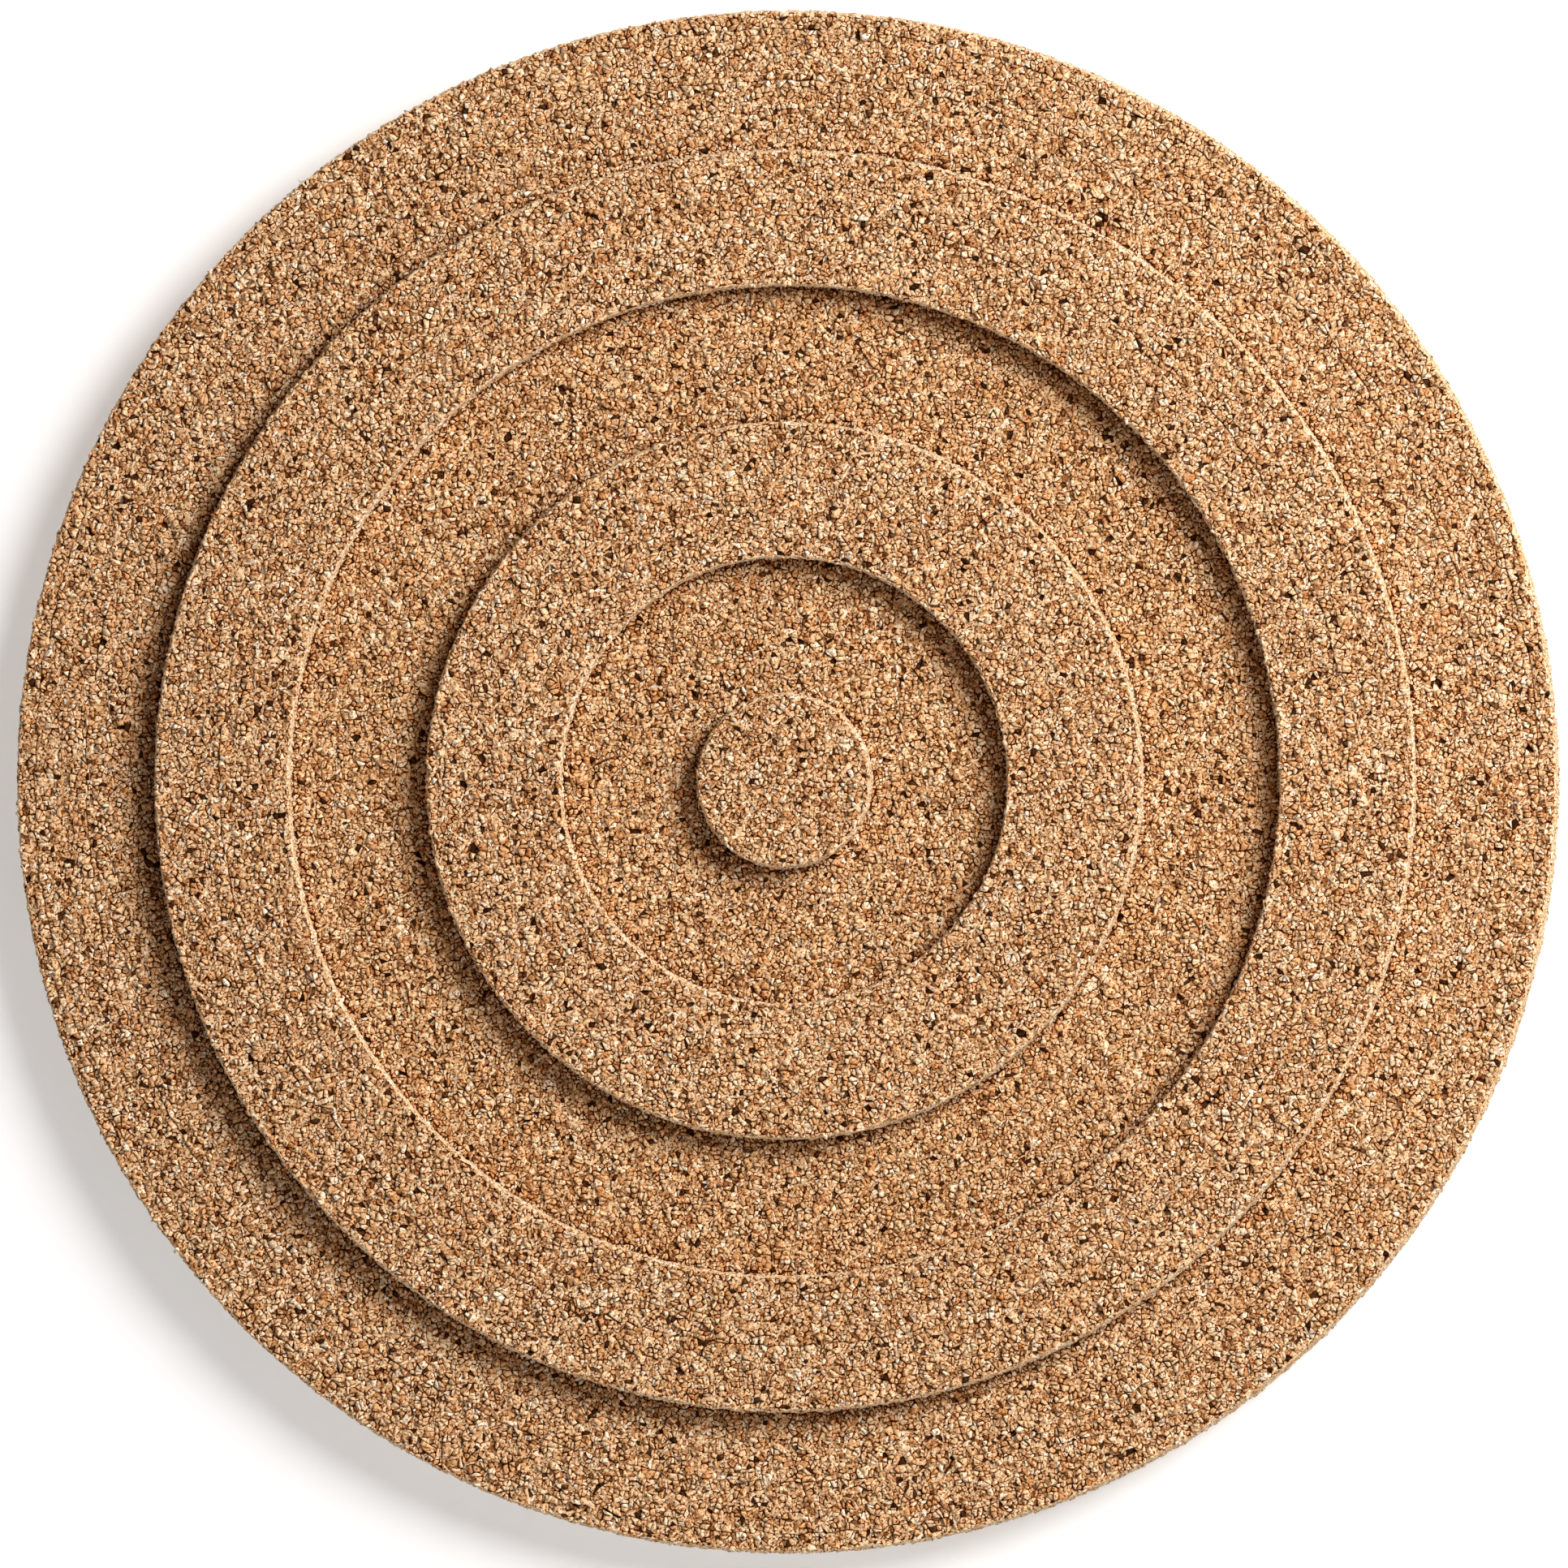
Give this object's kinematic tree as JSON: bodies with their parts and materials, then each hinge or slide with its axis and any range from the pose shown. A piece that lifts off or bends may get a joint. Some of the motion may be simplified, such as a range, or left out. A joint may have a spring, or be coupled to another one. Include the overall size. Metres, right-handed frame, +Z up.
{
  "type": "cork bulletin board",
  "caption": "Round cork bulletin board with raised concentric rings and a raised centre disc, hung flat on a wall by keyhole plates in its back.",
  "frame": {"origin": "middle of the fibreboard's back face, in the plane of the wall", "axes": "+Y into the wall, so the face looks along -Y; +Z up as it hangs; +X to the right seen from the front"},
  "size_m": [0.3, 0.0185, 0.3],
  "materials": {
    "base_cork": "rough agglomerated cork, open granules",
    "ring_cork": "rough agglomerated cork, open granules, cut walls",
    "fibreboard": "smooth brown fibreboard",
    "zinc_plate": "zinc plated, satin",
    "screw_steel": "bright zinc"
  },
  "bodies": {
    "root": {"base_disc": "base_cork", "outer_ring": "ring_cork", "inner_ring": "ring_cork", "centre_disc": "ring_cork", "backing_board": "fibreboard", "hanger_plate_left": "zinc_plate", "hanger_plate_right": "zinc_plate", "hanger_screw_left_upper": "screw_steel", "hanger_screw_left_lower": "screw_steel", "hanger_screw_right_upper": "screw_steel", "hanger_screw_right_lower": "screw_steel"}
  },
  "joints": []
}
